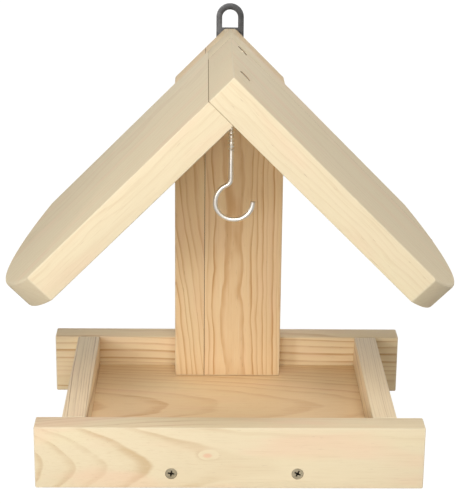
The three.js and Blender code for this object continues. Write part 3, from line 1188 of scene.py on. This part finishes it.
steel, steel_shader, wires = new_material("galvanised_steel")
spot = wires.node("ShaderNodeTexCoord", out="Object")
spangle = wires.node(
    "ShaderNodeTexVoronoi", {"feature": "F1"}, {"Vector": spot, "Scale": 260.0}, out="Color"
)
spangle = wires.node("ShaderNodeSeparateColor", None, {0: spangle}, out=0)
scuffed = cloudy(stretched(spot, 300, 300, 90), 4.0, 0.65)
tone = tinted((0.12, 0.121, 0.126, 1), (0.07, 0.071, 0.075, 1), spangle)
tone = tinted(tone, (0.24, 0.24, 0.245, 1), smooth(scuffed, 0.55, 0.75, 0.0, 0.5))
steel.node_tree.links.new(tone.socket, steel_shader.inputs["Base Color"])
steel.node_tree.links.new((0.38 + 0.2 * scuffed).socket, steel_shader.inputs["Roughness"])
steel_shader.inputs["Metallic"].default_value = 1.0
plate = placed("hanger_strip", plate_mesh)
plate_mesh.materials.append(steel)
round_off = plate.modifiers.new("tumbled edges", "BEVEL")
round_off.limit_method, round_off.angle_limit = "ANGLE", math.radians(40)
round_off.width, round_off.segments = 0.25 * MM, 2
drills = []
for p, a in plate_screws:
    drills.append(drill(p, a, 3.4 * MM, 6.4 * MM, 6 * MM))
    cut = plate.modifiers.new("hole", "BOOLEAN")
    cut.operation, cut.solver, cut.object = "DIFFERENCE", "EXACT", drills[-1]
bpy.context.view_layer.update()
settled(plate)
for spent in drills:
    bpy.data.objects.remove(spent)
plate.data.shade_smooth()
plate.data.set_sharp_from_angle(angle=math.radians(30))
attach(plate, "feeder")
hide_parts("hanger_plate")
screws(
    "hanger_screws",
    ["hanger_screw_upper", "hanger_screw_lower"],
    plate_screws,
    20 * MM,
    31,
    head=6 * MM,
    depth=1.5 * MM,
    sunk=0.0,
)

# ----------------------------------------------------------------------------------------
# The screw hook: bright zinc-plated wire 3 mm thick, bent to an open round hook, with a
# rolled thread on its upper half. It turns up into the ridge and holds the food.
# ----------------------------------------------------------------------------------------
WIRE = 3 * MM
loop_radius, loop_x, loop_z = 11.65 * MM, 2.05 * MM, 167.63 * MM
neck_radius, neck_turn = 5 * MM, math.radians(64.95)
shank_top, thread_end, shank_end = 249.7 * MM, 199.7 * MM, 182.7 * MM

path = [
    (0.0, shank_top),
    (0.0, shank_top - 3 * MM),
    (0.0, thread_end + 1 * MM),
    (0.0, thread_end - 0.5 * MM),
    (0.0, shank_end),
]
gauges = [0.2, 0.82, 0.82, 1.0, 1.0]
for k in range(1, 13):
    a = neck_turn * k / 12
    path.append((-neck_radius * (1 - math.cos(a)), shank_end - neck_radius * math.sin(a)))
start = math.atan2(path[-1][1] - loop_z, path[-1][0] - loop_x)
if start < 0:
    start += 2 * math.pi
stop = 2 * math.pi
for k in range(1, 61):
    a = start + (stop - start) * k / 60
    path.append((loop_x + loop_radius * math.cos(a), loop_z + loop_radius * math.sin(a)))

hook_tree, given = shape_tree(
    "screw_hook",
    {
        "Wire": ("Float", WIRE),
        "Thread Width": ("Float", 3.8 * MM),
        "Thread Pitch": ("Float", 2.3 * MM),
        "Thread Length": ("Float", shank_top - thread_end),
        "Thread Top": ("Float", shank_top),
        "Finish": ("Material", None),
    },
)
begin = given["Geometry"]
wire_path = begin.node("GeometryNodeMeshToCurve", None, {"Mesh": begin})
section = begin.node(
    "GeometryNodeCurvePrimitiveCircle",
    {"mode": "RADIUS"},
    {"Resolution": 24, "Radius": given["Wire"] * 0.5},
)
gauge = begin.node("GeometryNodeInputNamedAttribute", {"data_type": "FLOAT"}, {"Name": "gauge"})
rod = begin.node(
    "GeometryNodeCurveToMesh",
    None,
    {"Curve": wire_path, "Profile Curve": section, "Fill Caps": True, "Scale": gauge},
)
coil = begin.node(
    "GeometryNodeCurveSpiral",
    None,
    {
        "Resolution": 28,
        "Rotations": (given["Thread Length"] - 3 * MM) / given["Thread Pitch"],
        "Start Radius": given["Wire"] * 0.41,
        "End Radius": given["Wire"] * 0.41,
        "Height": given["Thread Length"] - 3 * MM,
    },
)
coil = moved(
    begin,
    coil,
    Translation=begin.node(
        "ShaderNodeCombineXYZ",
        None,
        {"Y": hook_y, "Z": given["Thread Top"] - given["Thread Length"] + 1 * MM},
    ),
)
edge = begin.node(
    "GeometryNodeCurvePrimitiveCircle",
    {"mode": "RADIUS"},
    {"Resolution": 4, "Radius": (given["Thread Width"] - given["Wire"] * 0.82) * 0.5},
)
thread = begin.node(
    "GeometryNodeCurveToMesh", None, {"Curve": coil, "Profile Curve": edge, "Fill Caps": True}
)
whole = several(begin, "GeometryNodeJoinGeometry", None, 0, [rod, thread])
whole = begin.node("GeometryNodeRealizeInstances", None, {"Geometry": whole})
whole = begin.node(
    "GeometryNodeSetMaterial", None, {"Geometry": whole, "Material": given["Finish"]}
)
shape_end(hook_tree, whole)

bright = zinc("hook_zinc", (0.98, 0.97, 0.94), (0.90, 0.89, 0.86), 0.26, False)
line = bpy.data.meshes.new("hook")
line.from_pydata([(x, hook_y, z) for x, z in path], [(k, k + 1) for k in range(len(path) - 1)], [])
thickness = line.attributes.new("gauge", "FLOAT", "POINT")
for k in range(len(path)):
    thickness.data[k].value = gauges[k] if k < len(gauges) else 1.0
hook = placed("hook", line)
maker = hook.modifiers.new("maker", "NODES")
maker.node_group = hook_tree
slots = {s.name: s.identifier for s in hook_tree.interface.items_tree if s.in_out == "INPUT"}
maker[slots["Finish"]] = bright
bpy.context.view_layer.update()
settled(hook)
hook.data.shade_smooth()
hook.data.set_sharp_from_angle(angle=math.radians(40))
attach(hook, "hook")
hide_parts("screw_hook")
